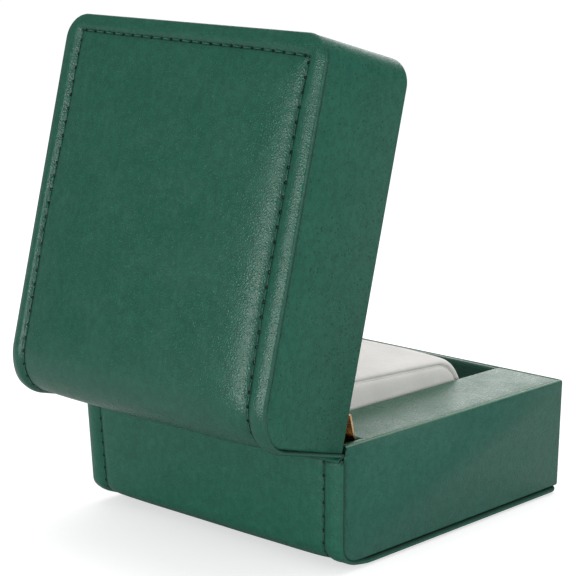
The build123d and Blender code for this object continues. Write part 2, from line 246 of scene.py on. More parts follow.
def leather(
    name,
    shades,
    grain=0.8,
    grain_depth=0.035,
    pits=0.0,
    seam=False,
    roughness=0.27,
    gloss=0.3,
    highlight_from=None,
):
    """Pressed leathercloth: small rounded cells with creases between them, soft wrinkles and pits, with painted
    shade in the creases, wrinkle troughs and pits.

    The grain is the size of a cell and grain_depth its relief, both in millimetres. Above the height given last
    the turned edge is painted paler, a painted highlight. With a seam it reads the seam attribute of the wraps.
    """
    colour, dark, light = shades
    finish = Finish(name, roughness, specular=gloss)
    bent = finish.bent_place(1.6, 0.7)
    crease = finish.cells(grain, "DISTANCE_TO_EDGE", bent)
    dome = finish.remap(crease, 0.0, 0.45)
    fine = finish.noise(0.45 * grain, 2.0, 0.6)
    wave = finish.noise(2.4, 3.0, 0.6)
    cloud = finish.noise(13.0, 4.0, 0.6)
    height = dome * 0.7 + fine * 0.35 + wave * 0.9
    tint = finish.mix(finish.remap(cloud, 0.3, 0.7), colour, light)
    if seam:
        upright = finish.node("Mapping", Vector=bent, Scale=(1.0, 1.0, 0.35))
        wrinkle = finish.noise(1.3, 2.0, 0.6, place=upright)
        height = height + wrinkle * 0.6
        # Painted shade in the troughs of the wrinkles
        tint = finish.mix(finish.remap(wrinkle, 0.35, 0.65, 0.3, 0.0), tint, dark)
    # Painted shade in the creases between the cells, stronger in patches
    painted_hollow_shade = (1 - dome) * finish.remap(wave, 0.35, 0.65, 0.25, 0.7)
    if pits:
        spot = finish.cells(1.5, "F1", bent)
        chosen = finish.remap(finish.noise(4.0, 2.0), 0.35, 0.65, 0.5, 1.0)
        # Painted shade in the pits, which are also pressed in
        pit_depth_and_painted_shade = finish.remap(spot, 0.12, 0.42, 1.0, 0.0) * chosen * pits
        painted_hollow_shade = (painted_hollow_shade * 0.7).math("MAXIMUM", pit_depth_and_painted_shade)
        height = height - pit_depth_and_painted_shade * 1.6
    tint = finish.mix(painted_hollow_shade, tint, dark)
    if highlight_from:
        # Painted highlight: the turned edge above the given height is painted paler, broken by the fine grain
        raised = finish.remap(finish.parts(finish.place)[2], highlight_from - 0.3, highlight_from + 0.3)
        painted_highlight = raised * finish.remap(fine, 0.3, 0.6, 0.35, 0.75)
        tint = finish.mix(painted_highlight, tint, PAINTED_EDGE_HIGHLIGHT)
    rough = finish.remap(cloud, 0.25, 0.75, roughness - 0.05, roughness + 0.05) + (1 - dome) * 0.12
    if seam:
        # The attribute counts stitches along the seam, gives the distance from it, and is 1 where the painted
        # shade under an edge is full.
        mark = finish.node("Attribute", {"attribute_name": "seam"}, "Vector")
        stitches, across, painted_shade_mask = finish.parts(mark)
        from_hole = 0.5 - (stitches.math("FRACT") - 0.5).math("ABSOLUTE")
        torn = (finish.noise(0.5, 2.0) - 0.5) * 0.5
        reach = ((from_hole * 3.6).math("POWER", 2.0) + across * across).math("SQRT") + torn
        # Painted shade in the stitch holes, which are also pressed in
        hole = finish.remap(reach, 0.2, 0.56, 1.0, 0.0)
        # Painted shade along the sunk stitch line
        line = finish.remap(across.math("ABSOLUTE") + torn, 0.1, 0.6, 0.7, 0.0)
        tint = finish.mix(line, tint, PAINTED_SEAM_SHADE)
        # Painted shade under the rolled edges and at the wrap's end, which are also made duller
        tint = finish.mix(painted_shade_mask, tint, PAINTED_EDGE_SHADE)
        tint = finish.mix(hole, tint, PAINTED_HOLE_SHADE)
        rough = rough + painted_shade_mask * 0.35
        height = height - hole * 5.0
    finish.paint(tint, rough)
    finish.bump(height, grain_depth)
    return finish.material


wrap_green = leather(
    "wrap green leathercloth",
    WRAP_SHADES,
    grain=0.9,
    grain_depth=0.075,
    seam=True,
    roughness=0.22,
    gloss=0.36,
)
side_green = leather(
    "side green leathercloth", SIDE_SHADES, grain=0.85, grain_depth=0.045, pits=0.85, gloss=0.18
)
# Its turned top edge gets a painted highlight
base_side_green = leather(
    "base side green leathercloth",
    BASE_SIDE_SHADES,
    grain=0.85,
    grain_depth=0.045,
    pits=0.6,
    gloss=0.24,
    highlight_from=BASE_TOP - 0.3,
)
# Painted lighter than the lid's wrap, in place of light
base_wrap_green_painted_lighter = leather(
    "base wrap green leathercloth painted lighter", BASE_WRAP_SHADES_PAINTED_LIGHTER, grain=1.0, grain_depth=0.045, seam=True, roughness=0.24
)
rim_green = leather("rim green leathercloth", RIM_SHADES, grain=1.2, grain_depth=0.09)
lining_green = leather("lining green leathercloth", LINING_SHADES, grain=0.6, grain_depth=0.025)
fold_green = leather("fold green leathercloth", WRAP_SHADES, grain_depth=0.03)


def ivory_material():
    """Smooth ivory covering with a very fine nap."""
    finish = Finish("ivory covering", 0.62, specular=0.3)
    cloud = finish.noise(14.0, 3.0)
    nap = finish.noise(0.35, 4.0, 0.7)
    wave = finish.noise(5.0, 2.0)
    grey_ivory, pale_ivory, nap_shade = (0.800, 0.779, 0.752), (0.860, 0.844, 0.822), (0.72, 0.70, 0.665)
    tint = finish.mix(finish.remap(cloud, 0.3, 0.7), grey_ivory, pale_ivory)
    finish.paint(finish.mix(finish.remap(nap, 0.35, 0.65, 0.0, 0.35), tint, nap_shade))
    finish.bump(nap * 0.25 + wave, 0.12)
    return finish.material


def thread_material():
    """Twisted green sewing thread."""
    finish = Finish("green thread", 0.55)
    bent = finish.bent_place(1.0, 0.3)
    bands = {"bands_direction": "DIAGONAL"}
    twist = finish.node("TexWave", bands, "Fac", Vector=bent, Scale=1.1, Distortion=1.0)
    dark_green, pale_green = (0.010, 0.058, 0.040), (0.045, 0.16, 0.115)
    finish.paint(finish.mix(twist, dark_green, pale_green))
    finish.bump(twist, 0.08)
    return finish.material


def metal_material(name, colour, worn, roughness):
    """Plated sheet metal with fine rolling marks and dull patches."""
    finish = Finish(name, roughness, metallic=1.0)
    stretched = finish.node("Mapping", Vector=finish.place, Scale=(0.15, 3.0, 3.0))
    marks = finish.noise(0.6, 3.0, place=stretched)
    dull = finish.noise(3.5, 4.0, 0.6)
    finish.paint(
        finish.mix(finish.remap(dull, 0.35, 0.7), colour, worn),
        finish.remap(marks, 0.3, 0.7, roughness - 0.08, roughness + 0.12),
    )
    finish.bump(marks, 0.02)
    return finish.material


def board_material(name, colour, dark, size, stretch=(1.0, 1.0, 1.0)):
    """Pressed board or card with fibres."""
    finish = Finish(name, 0.85)
    stretched = finish.node("Mapping", Vector=finish.place, Scale=stretch)
    fibre = finish.noise(size, 5.0, 0.7, 0.6, place=stretched)
    finish.paint(finish.mix(finish.remap(fibre, 0.35, 0.65), dark, colour))
    finish.bump(fibre, 0.1)
    return finish.material


ivory = ivory_material()
thread = thread_material()
brass = metal_material("gold plated spring steel", (0.80, 0.56, 0.31), (0.66, 0.45, 0.25), 0.27)
steel = metal_material("nickel plated steel", (0.62, 0.62, 0.61), (0.45, 0.44, 0.42), 0.28)
fibreboard = board_material("fibreboard", (0.42, 0.30, 0.18), (0.26, 0.17, 0.095), 0.7, (1.0, 1.0, 2.0))
card = board_material("grey card", (0.36, 0.33, 0.28), (0.25, 0.22, 0.18), 0.5)
foam = board_material("cream foam", (0.72, 0.69, 0.60), (0.52, 0.49, 0.40), 0.4)

SLOT_MATERIALS = {
    "wrap_leather": wrap_green,
    "cover_leather": side_green,
    "lining_leather": lining_green,
    "ivory_leather": ivory,
    "foam": foam,
    "card": card,
    "board": fibreboard,
    "plated_brass": brass,
    "steel": steel,
}

for entry in frame["record"]["subparts"]:
    solid = frame["nodes"][entry["node"]]
    solid.data.materials.clear()
    solid.data.materials.append(SLOT_MATERIALS[entry["material_slot"]])


# Making pieces


def finish_piece(bm, name, body, material, levels=0, shade_angle=None):
    """Turn a mesh in millimetres into a piece of a body. Lid pieces are made shut and opened here."""
    bmesh.ops.scale(bm, vec=(MM, MM, MM), verts=bm.verts)
    if body == "lid":
        bmesh.ops.rotate(bm, cent=HINGE, matrix=Matrix.Rotation(-OPEN_ANGLE, 3, "X"), verts=bm.verts)
    bmesh.ops.recalc_face_normals(bm, faces=bm.faces)
    mesh = bpy.data.meshes.new(name)
    bm.to_mesh(mesh)
    bm.free()
    for face in mesh.polygons:
        face.use_smooth = True
    if shade_angle:
        mesh.set_sharp_from_angle(angle=math.radians(shade_angle))
    mesh.materials.append(material)
    piece = bpy.data.objects.new(name, mesh)
    bpy.context.scene.collection.objects.link(piece)
    if levels:
        rounding = piece.modifiers.new("rounding", "SUBSURF")
        rounding.levels = rounding.render_levels = levels
    if body:
        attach(piece, body)
    return piece


def add_thickness(piece, thickness, offset=-1.0):
    wall = piece.modifiers.new("thickness", "SOLIDIFY")
    wall.thickness, wall.offset = thickness * MM, offset
    wall.use_even_offset = True


def block(bm, x_range, y_range, z_range):
    """Add a rectangular block between the given limits."""
    made = bmesh.ops.create_cube(bm, size=1.0)["verts"]
    ranges = (x_range, y_range, z_range)
    bmesh.ops.scale(bm, vec=[high - low for low, high in ranges], verts=made)
    bmesh.ops.translate(bm, vec=[(low + high) / 2 for low, high in ranges], verts=made)


def near(value, target):
    """Whether a coordinate is at its target, within a fiftieth of a millimetre."""
    return abs(value - target) < 0.02


def at(**targets):
    """Test for an edge with both ends at the given coordinates, such as y=3, z=4."""

    def test(*ends):
        return all(near(getattr(end, axis), place) for end in ends for axis, place in targets.items())

    return test


def round_edges(bm, chosen, radius, segments, sharper_than=None):
    """Bevel the edges for which chosen(start, end) holds, all or only those bent by more than an angle."""
    edges = [edge for edge in bm.edges if chosen(*(vert.co for vert in edge.verts))]
    if sharper_than:
        edges = [edge for edge in edges if edge.is_manifold and edge.calc_face_angle(0) > sharper_than]
    bmesh.ops.bevel(
        bm,
        geom=edges,
        offset=radius,
        segments=segments,
        profile=0.5,
        affect="EDGES",
        material=-1,
        clamp_overlap=True,
    )


def remove_faces(bm, chosen):
    """Delete the faces for which chosen(face) holds."""
    faces = [face for face in bm.faces if chosen(face)]
    bmesh.ops.delete(bm, geom=faces, context="FACES")


# Outer wraps


class Wrap:
    """One half of the padded outer wrap, as a grid of columns across it and rows along it.

    Places are x across and s along the outer face, from the front edge round the rear bend.
    """

    # Grid steps out from a seam: over the border, round its rolled edge, and one that tucks it in
    FACE_STEPS = 8
    ROLL_STEPS = 6
    RIM = FACE_STEPS + ROLL_STEPS + 1
    # About the distance between the side seams, and the widest steps across and along the middle
    ACROSS, COLUMN_STEP, ROW_STEP = 96.0, 1.5, 0.95
    # Height of the border at shares of its width, from the seam out
    BORDER = [
        (0, -1.15),
        (0.09, -0.8),
        (0.22, -0.25),
        (0.4, 0.0),
        (0.55, 0.0),
        (0.72, -0.16),
        (0.86, -0.42),
        (1, -0.7),
    ]
    # Radius of the border's edge, and how far it is tucked in
    ROLL, TUCK = 1.0, 2.4
    # Depth and reach of the padding's sharp and soft fall towards a seam, and the reach of its crown
    NIP, NIP_REACH = 0.62, 0.9
    SINK, SINK_REACH = 0.53, 6.0
    FULL_REACH = 18.0
    # Radius of the end beside the hinge line, and how dark the painted shade on that end is
    END_ROUND, END_SHADE = 1.3, 0.9
    # Places across, to either side, that lie beyond the front seam
    SEAM_ENDS = 60.0

    def __init__(
        self,
        material,
        flat,
        up,
        end,
        bend,
        corner,
        left_seam,
        right_seam,
        front_seam,
        crown,
        flat_crown,
        reach,
        sway,
    ):
        """A wrap with its flat face at one height and its end at another, facing up (1) or down (-1)."""
        self.material, self.reach = material, reach
        self.flat, self.up, self.corner, self.radius = flat, up, corner, bend
        self.half = {-1: HALF, 1: HALF + WRAP_FAR_OUT}
        self.seams, self.front_seam = {-1: left_seam, 1: right_seam}, front_seam
        self.crown, self.flat_crown, self.sway = crown, flat_crown, sway
        self.run = REAR - FRONT - bend
        self.bend = bend * math.pi / 2
        self.length = self.run + self.bend + abs(flat - end) - bend
        self.columns = self.spread(self.ACROSS, self.COLUMN_STEP, both=True)
        self.rows = self.spread(self.length - self.front_place(0), self.ROW_STEP, both=False)

    @staticmethod
    def spread(length, step, both):
        """Places from 0 to length, close together beside the stitches."""
        places = [0.0]
        gap = 0.35
        while places[-1] < (length / 2 if both else length):
            places.append(places[-1] + gap)
            gap = min(step, gap * 1.3)
        if both:
            share = (length / 2) / places[-1]
            places = [place * share for place in places]
            return places + [length - place for place in reversed(places[:-1])]
        return [place * length / places[-1] for place in places]

    def seam_x(self, side, s):
        return along(self.seams[side], s)

    def front_place(self, x):
        return along(self.front_seam, x)

    def corner_edge(self, side, share, seam):
        """Point and outward direction a share of the way round a front corner, from its side to its front."""
        half, radius = self.half[side], self.corner
        first = math.asin(max(0.0, 1 - seam.y / radius))
        last = math.acos(max(0.0, 1 - (half - abs(seam.x)) / radius))
        side_run, bend = max(0.0, seam.y - radius), (last - first) * radius
        front_run = max(0.0, half - radius - abs(seam.x))
        place = share * (side_run + bend + front_run)
        if place < side_run:
            return Vector((side * half, seam.y - place)), Vector((side, 0))
        if place > side_run + bend:
            return Vector((side * (abs(seam.x) + side_run + bend + front_run - place), 0)), Vector((0, -1))
        angle = first + (place - side_run) / radius
        out = Vector((side * math.cos(angle), -math.sin(angle)))
        return Vector((side * (half - radius), radius)) + out * radius, out

    def edge_at(self, side, steps_side, steps_front, x, s):
        """Outline point, its outward direction, the seam point and the number of steps out from it."""
        if steps_side and steps_front:
            seam_s = self.front_place(side * self.SEAM_ENDS)
            seam = Vector((self.seam_x(side, seam_s), seam_s))
            steps = max(steps_side, steps_front)
            share = min(steps_side, steps_front) / steps / 2
            if steps_front > steps_side:
                share = 1 - share
            point, out = self.corner_edge(side, share, seam)
            return point, out, seam, steps
        if steps_side:
            drop = max(0.0, 1 - s / self.corner)
            out = Vector((side * math.sqrt(1 - drop**2), -drop))
            reach = self.half[side] - self.corner * (1 - math.sqrt(1 - drop**2))
            return Vector((side * reach, s)), out, Vector((self.seam_x(side, s), s)), steps_side
        end = 1 if x > 0 else -1
        drop = max(0.0, 1 - (self.half[end] - abs(x)) / self.corner)
        out = Vector((end * drop, -math.sqrt(1 - drop**2)))
        edge = self.corner * (1 - math.sqrt(1 - drop**2))
        return Vector((x, edge)), out, Vector((x, self.front_place(x))), steps_front

    def pillow(self, x, s):
        """Height of the padded middle over the top of the border."""
        left, right = x - self.seam_x(-1, s), self.seam_x(1, s) - x
        front = s - self.front_place(x)
        nearest = min(left, right, front)
        steps = x / FRONT_PITCH if nearest is front else s / SIDE_PITCH
        rise = 1.0
        for distance, reach in ((left, self.reach), (right, self.FULL_REACH), (front, self.FULL_REACH)):
            rise *= 1 - math.exp(-max(0.0, distance) / reach)
        crown = self.crown + (self.flat_crown - self.crown) * (1 - smooth(self.run - 8, self.run + 16, s))
        fade = smooth(0, 22, self.length - s)
        nip = self.NIP * math.exp(-nearest / self.NIP_REACH)
        height = -nip - self.SINK * math.exp(-nearest / self.SINK_REACH) + crown * rise * fade
        height -= 0.14 * pucker(steps) * math.exp(-nearest / 1.8)
        if self.flat_crown or s > self.run:
            creases = ripple(s / 3.1, nearest / 9, 4.0) * math.exp(-nearest / 5.0)
            waves = ripple(x / 19, s / 23, 9.0) * (1 - math.exp(-nearest / 6))
            height += 0.09 * creases
            height += 0.10 * waves
        return height, steps, nearest

    def border(self, share, steps):
        """Height of the border at a share of its width out from the seam."""
        return along(self.BORDER, share) - 0.12 * pucker(steps) * math.exp(-share * 5.5 / 1.6)

    def locate(self, column, row):
        """Place, height and seam mark of one grid point. The mark carries the painted shade under the edges and at
        the end.
        """
        last = self.RIM + len(self.columns) - 1
        steps_left, steps_right = max(0, self.RIM - column), max(0, column - last)
        side = -1 if steps_left else 1
        steps_side, steps_front = steps_left or steps_right, max(0, self.RIM - row)
        middle_column = min(max(column, self.RIM), last) - self.RIM
        share = min(1.0, max(0.0, self.columns[middle_column] / self.columns[-1]))
        offset = self.rows[max(row, self.RIM) - self.RIM]

        def s_at(x):
            lean = self.front_place(x) - self.front_place(0)
            return self.front_place(0) + offset + lean * max(0.0, 1 - offset / 40)

        s = s_at(-self.SEAM_ENDS + 2 * self.SEAM_ENDS * share)
        x = self.seam_x(-1, s) + (self.seam_x(1, s) - self.seam_x(-1, s)) * share
        s = s_at(x)
        # Painted shade at the end beside the hinge line, where the wrap goes into the groove
        painted_end_shade = self.END_SHADE - self.END_SHADE * smooth(0.6, 2.2, self.length - s)
        if not steps_side and not steps_front:
            height, steps, nearest = self.pillow(x, s)
            return Vector((x, s)), height, (steps, -nearest, painted_end_shade)
        point, out, seam, steps_out = self.edge_at(side, steps_side, steps_front, x, s)
        along_seam = x / FRONT_PITCH if steps_front > steps_side else s / SIDE_PITCH
        if steps_out <= self.FACE_STEPS:
            share_out = steps_out / self.FACE_STEPS
            inner = point - out * self.ROLL
            flat = seam.lerp(inner, share_out)
            return flat, self.border(share_out, along_seam), (along_seam, (flat - seam).length, painted_end_shade)
        # The shader reads this as well away from the seam.
        far_off = 9.0
        if steps_out < self.RIM:
            angle = math.radians(90 - 180 / self.ROLL_STEPS * (steps_out - self.FACE_STEPS))
            height = self.BORDER[-1][1] - self.ROLL + self.ROLL * math.sin(angle)
            # Painted shade on the underside of the rolled edge
            painted_shade_mask = max(painted_end_shade, smooth(0.2, 0.7, -math.sin(angle)))
            return point - out * self.ROLL * (1 - math.cos(angle)), height, (along_seam, far_off, painted_shade_mask)
        # The tucked edge is fully painted with shade
        return point - out * (self.ROLL + self.TUCK), -WRAP_DEPTH, (along_seam, far_off, 1.0)

    def solid_place(self, flat, height):
        """Turn a place along the wrap and a height over it into a point of the shut box."""
        x, s = flat
        middle = -WRAP_DEPTH / 2
        left = self.length - s
        if left < self.END_ROUND:
            turn = math.sqrt(max(0.0, 1 - (1 - left / self.END_ROUND) ** 2))
            height = middle + (height - middle) * turn
        if s < self.run:
            y, z, normal = FRONT + s, 0.0, (0.0, 1.0)
        elif s < self.run + self.bend:
            angle = (s - self.run) / self.radius
            y, z = FRONT + self.run + self.radius * math.sin(angle), -self.radius * (1 - math.cos(angle))
            normal = (math.sin(angle), math.cos(angle))
        else:
            y, z, normal = REAR, -(s - self.run - self.bend) - self.radius, (1.0, 0.0)
        y += height * normal[0]
        z += height * normal[1]
        return self.sway(Vector((x, y, self.flat + self.up * z)), 1 + max(-WRAP_DEPTH, height) / WRAP_DEPTH)

    def build(self, name, body):
        bm = bmesh.new()
        wide = 2 * self.RIM + len(self.columns) - 1
        long = self.RIM + len(self.rows) - 1
        bmesh.ops.create_grid(bm, x_segments=wide, y_segments=long, size=0.5)
        mark = bm.verts.layers.float_vector.new("seam")
        for vert in bm.verts:
            column, row = round((vert.co.x + 0.5) * wide), round((vert.co.y + 0.5) * long)
            flat, height, vert[mark] = self.locate(column, row)
            vert.co = self.solid_place(flat, height)
        piece = finish_piece(bm, name, body, self.material, levels=1)
        return piece

    def build_filling(self, name, body, material):
        """The sheet between the two layers of leathercloth, pressed thin under the stitches.

        It reaches some steps into the border and stops two rows before the wrap does. The grid is folded
        over at its last row, so its second half is the underside.
        """
        bm = bmesh.new()
        into_border = self.FACE_STEPS - 1
        first, wide = self.RIM - into_border, len(self.columns) - 1 + 2 * into_border
        long = len(self.rows) - 3 + into_border
        underside, cloth, thinnest = 0.4 - WRAP_DEPTH, 0.75, 0.6 - WRAP_DEPTH
        bmesh.ops.create_grid(bm, x_segments=wide, y_segments=2 * long, size=0.5)
        for vert in bm.verts:
            column, row = round((vert.co.x + 0.5) * wide), round((vert.co.y + 0.5) * 2 * long)
            under = row > long or row == 0 or column in (0, wide)
            flat, height, _ = self.locate(column + first, min(row, 2 * long - row) + first)
            vert.co = self.solid_place(flat, underside if under else max(height - cloth, thinnest))
        bmesh.ops.remove_doubles(bm, verts=bm.verts, dist=0.001)
        return finish_piece(bm, name, body, material)

    def stitch_places(self):
        """Middle and direction of each stitch, as places along the wrap."""
        first = [self.front_place(side * self.SEAM_ENDS) for side in (-1, 1)]
        places = []
        for side, start in zip((-1, 1), first):
            for count in range(math.ceil(start / SIDE_PITCH), int((self.length - 4) / SIDE_PITCH)):
                s = (count + 0.5) * SIDE_PITCH
                places.append((Vector((self.seam_x(side, s), s)), Vector((0, 1))))
        low, high = self.seam_x(-1, first[0]), self.seam_x(1, first[1])
        for count in range(math.ceil(low / FRONT_PITCH), int(high / FRONT_PITCH)):
            x = (count + 0.5) * FRONT_PITCH
            places.append((Vector((x, self.front_place(x))), Vector((1, 0))))
        return places

    def build_stitches(self, name, body):
        """Short threads lying in the stitch line, both ends going down into their holes.

        Those along the front are thicker and lie higher. No two have quite the same size, turn and place.
        """
        bm = bmesh.new()
        for count, (middle, direction) in enumerate(self.stitch_places()):
            front = abs(direction.x)
            slack, turn, aside = (ripple(count * 1.37, seed, 2.0) for seed in (1.5, 6.5, 11.5))
            half_width = 0.21 + 0.04 * front + 0.05 * slack
            half_length = 1.66 + 0.25 * aside
            depth = 0.86 - 0.1 * front + 0.12 * turn
            across_way = Vector((-direction.y, direction.x))
            made = bmesh.ops.create_uvsphere(bm, u_segments=10, v_segments=6, radius=1.0)["verts"]
            for vert in made:
                length = vert.co.z
                across = vert.co.x * half_width + 0.25 * turn * length + 0.12 * aside
                lift = vert.co.y * 0.22 - 0.30 * length**4
                flat = middle + direction * (length * half_length) + across_way * across
                vert.co = self.solid_place(flat, lift - depth)
        return finish_piece(bm, name, body, thread)


def base_lean(x, height):
    """How far the rear of the base leans out at a height, more at the far side."""
    side = far_share(x)
    return (1 - side) * (0.8 + 0.04 * height) + side * (1.4 + 0.11 * height)


def base_sway(place, _):
    """Lean the rear of the base's wrap out and round its lower edge up, whatever the depth in it."""
    x, y, z = place
    corner_drop = 0.8 * smooth(52, 55, -x)
    lift = (2.2 + 0.9 * far_share(x) - corner_drop) * smooth(46, 58, y) * max(0.0, 1 - z / BASE_BEND)
    return Vector((x, y + base_lean(x, z) * smooth(40, 58, y), z + lift))


def lid_out(x, y):
    """Share by which the rear edge of the lid's sides stands out."""
    return smooth(46, 53, abs(x)) * smooth(50, BODY_REAR, y)


def lid_sway(place, outer):
    """Let the edge of the lid's wrap stand out at the rear, less at its outer face (1) than inside (0)."""
    x, y, z = place
    return Vector((x, y + (LID_REAR_OUT - 0.7 * outer) * lid_out(x, y), z))


lid_wrap = Wrap(
    wrap_green,
    flat=LID_TOP,
    up=1,
    end=41.7,
    bend=LID_BEND,
    corner=8.5,
    left_seam=[(0, -48.6), (30, -47.9), (80, -47.6), (120, -48.4), (160, -48.6)],
    right_seam=[(0, 48.2), (25, 48.8), (70, 50.4), (115, 50.1), (160, 49.6)],
    front_seam=[(-60, 7.3), (-20, 6.3), (20, 5.9), (60, 5.4)],
    crown=0.5,
    flat_crown=2.1,
    reach=4.5,
    sway=lid_sway,
)
base_wrap = Wrap(
    base_wrap_green_painted_lighter,
    flat=0.0,
    up=-1,
    end=38.2,
    bend=BASE_BEND,
    corner=3.8,
    left_seam=[(0, -48.2), (60, -48.0), (110, -47.8), (160, -47.9)],
    right_seam=[(0, 48.4), (60, 48.6), (110, 48.8), (160, 49.6)],
    front_seam=[(-60, 5.6), (60, 5.6)],
    crown=0.15,
    flat_crown=0.0,
    reach=Wrap.FULL_REACH,
    sway=base_sway,
)
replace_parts(lid_wrap.build("lid_wrap_leather", "lid"), "lid_wrap")
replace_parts(base_wrap.build("base_wrap_leather", "base"), "base_wrap")
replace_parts(lid_wrap.build_filling("lid_wrap_padding", "lid", foam), "lid_wrap_foam")
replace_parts(base_wrap.build_filling("base_wrap_board", "base", card), "base_wrap_stiffener")
lid_wrap.build_stitches("lid_stitches", "lid")
base_wrap.build_stitches("base_stitches", "base")


# Leathercloth of the sides and the padded rims


def front_upright(start, end):
    """Whether an edge is one of the upright ones at the front."""
    return near(start.y, FRONT) and near(end.y, FRONT) and near(start.x, end.x)


def rim_edge(height):
    """Test for the edges of the rim at a height, apart from the rear one."""
    return lambda start, end: at(z=height)(start, end) and min(start.y, end.y) < BODY_REAR - 1


def lid_cover():
    """Sides and front of the lid, its leathercloth rolled in at the rim and under the wrap."""
    bm = bmesh.new()
    top = LID_TOP - WRAP_DEPTH
    block(bm, (-BODY_HALF, BODY_HALF), (FRONT, BODY_REAR), (LID_RIM, top))
    round_edges(bm, at(y=BODY_REAR, z=top), radius=9.5, segments=14)
    round_edges(bm, front_upright, radius=9.0, segments=14)
    round_edges(bm, rim_edge(LID_RIM), radius=0.8, segments=4)
    remove_faces(bm, lambda face: face.normal.z < -0.99)
    round_edges(bm, lambda a, b: min(a.z, b.z) > LID_RIM + 2, radius=1.1, segments=4, sharper_than=0.6)

    def under_wrap(face):
        outward = face.normal.z > 0.05 or face.normal.y > 0.5
        behind_front = face.calc_center_median().y > FRONT + 2
        strip = len(face.verts) <= 4 and face.calc_area() > 20
        return abs(face.normal.x) < 0.2 and outward and behind_front and strip

    remove_faces(bm, under_wrap)
    remove_faces(bm, lambda face: max(face.normal.y, face.normal.z) > 0.999)
    for vert in bm.verts:
        vert.co.y += LID_REAR_OUT * lid_out(vert.co.x, vert.co.y)
    piece = finish_piece(bm, "lid_cover_leather", "lid", side_green, shade_angle=40)
    add_thickness(piece, COVER_THICKNESS)
    return piece


def base_cover():
    """Sides and front of the base, with a turned edge round the top."""
    bm = bmesh.new()
    block(bm, (-BODY_HALF, BODY_HALF), (FRONT, BODY_REAR), (WRAP_DEPTH, BASE_TOP))
    round_edges(bm, at(y=BODY_REAR, z=WRAP_DEPTH), radius=6.2, segments=12)
    round_edges(bm, front_upright, radius=0.9, segments=3)
    round_edges(bm, rim_edge(BASE_TOP), radius=0.9, segments=5)
    remove_faces(bm, lambda face: face.normal.z > 0.999)

    def along_wrap(start, end):
        upright_in_front = near(start.x, end.x) and near(start.y, end.y) and start.y < 0
        return max(start.z, end.z) < BASE_TOP - 1.5 and not upright_in_front

    def under_wrap(face):
        outward = face.normal.z < -0.05 or face.normal.y > 0.5
        return abs(face.normal.x) < 0.2 and face.calc_area() > 20 and outward

    round_edges(bm, along_wrap, radius=0.85, segments=4, sharper_than=0.6)
    remove_faces(bm, under_wrap)
    # A row of points here lets the rear edge turn upright over the last few millimetres.
    everything = [*bm.verts, *bm.edges, *bm.faces]
    bmesh.ops.bisect_plane(bm, geom=everything, plane_co=(0, 0, 37.5), plane_no=(0, 0, 1))
    for vert in bm.verts:
        x, y, z = vert.co
        vert.co.y += base_lean(x, z) * smooth(50, BODY_REAR, y) * (1 - 0.6 * smooth(38, 41.5, z))
    piece = finish_piece(bm, "base_cover_leather", "base", base_side_green, shade_angle=40)
    add_thickness(piece, COVER_THICKNESS)
    return piece


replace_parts(lid_cover(), "lid_cover")
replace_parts(base_cover(), "base_cover")


def rolled(distance, radius):
    """How far a surface has come down at a distance from its rolled edge."""
    inset = radius - min(max(distance, 0.0), radius)
    return radius - math.sqrt(radius**2 - inset**2)


def tucked(distance):
    """How far a pad is pressed down where its edge is held under another piece."""
    return 0.55 * math.exp(-distance / 0.4) + 0.14 * math.exp(-distance / 2.5)


def pad(
    name,
    x_range,
    y_range,
    edges,
    top,
    segments,
    material,
    sink=3.2,
    body="base",
    crown=0.15,
    seed=0.0,
    up=1,
):
    """Padded strip that faces up (1) or down (-1), with walls that sink to a flat back.

    Its edges, left, right, front and rear, are rolled by a radius or tucked (0).
    """
    bm = bmesh.new()
    bmesh.ops.create_grid(bm, x_segments=segments[0], y_segments=segments[1], size=0.5)
    for vert in bm.verts:
        across, length = (0.5 - 0.5 * math.cos(math.pi * (place + 0.5)) for place in vert.co.xy)
        x = x_range[0] + (x_range[1] - x_range[0]) * across
        y = y_range[0] + (y_range[1] - y_range[0]) * length
        dome = (1 - (2 * across - 1) ** 2) * (1 - (2 * length - 1) ** 8)
        gaps = (x - x_range[0], x_range[1] - x, y - y_range[0], y_range[1] - y)
        falls = [rolled(gap, radius) if radius else tucked(gap) for gap, radius in zip(gaps, edges)]
        fall = crown * (1 - dome) + max(falls) + 0.25 * (sum(falls) - max(falls))
        vert.co = (x, y, top - up * (fall - 0.05 * ripple(x / 8, y / 11, seed) * dome))
    grown = bmesh.ops.extrude_edge_only(bm, edges=[edge for edge in bm.edges if edge.is_boundary])["geom"]
    for vert in grown:
        if isinstance(vert, bmesh.types.BMVert):
            vert.co.z = top - up * sink
    bmesh.ops.holes_fill(bm, edges=[edge for edge in bm.edges if edge.is_boundary], sides=0)
    piece = finish_piece(bm, name, body, material, levels=1)
    return piece


def rims():
    """Padded rims beside the channel and behind it, and the leathercloth over the front wall."""
    front, edge, channel, pocket = -61.95, 53.95, 26.5, 51.0
    shared = {"y_range": (front, 50.2), "top": 42.22, "segments": (30, 60), "material": rim_green}
    left = pad("base_rim_pad_left", (-edge, -channel), edges=(0, 1.5, 0, 1.2), seed=1.0, **shared)
    right = pad("base_rim_pad_right", (channel, edge), edges=(1.5, 0, 0, 1.2), seed=2.0, **shared)
    rear_edges = (1.0, 1.0, 1.5, 1.0)
    rear = pad("base_rear_rim_pad", (-28.4, 28.4), (46.3, 59.6), rear_edges, 41.9, (30, 20), rim_green)
    shared = {"y_range": (48.6, 59.65), "top": 42.15, "segments": (10, 16), "material": rim_green}
    pad("base_rim_end_left", (-edge, -pocket), edges=(0, 0.8, 0, 0.9), sink=6.0, **shared)
    pad("base_rim_end_right", (pocket, edge), edges=(0.8, 0, 0, 0.9), sink=6.0, **shared)
    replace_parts(left, "base_rim_left")
    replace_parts(right, "base_rim_right")
    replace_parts(rear, "base_rear_rim")
    across, length, edges = (-27.8, 27.8), (front, -58.45), (0, 0, 0, 1.6)
    pad("front_wall_cap", across, length, edges, 42.12, (24, 16), lining_green, sink=1.9)


def heading(degrees):
    """Unit vector that points at an angle."""
    return Vector((math.cos(math.radians(degrees)), math.sin(math.radians(degrees))))


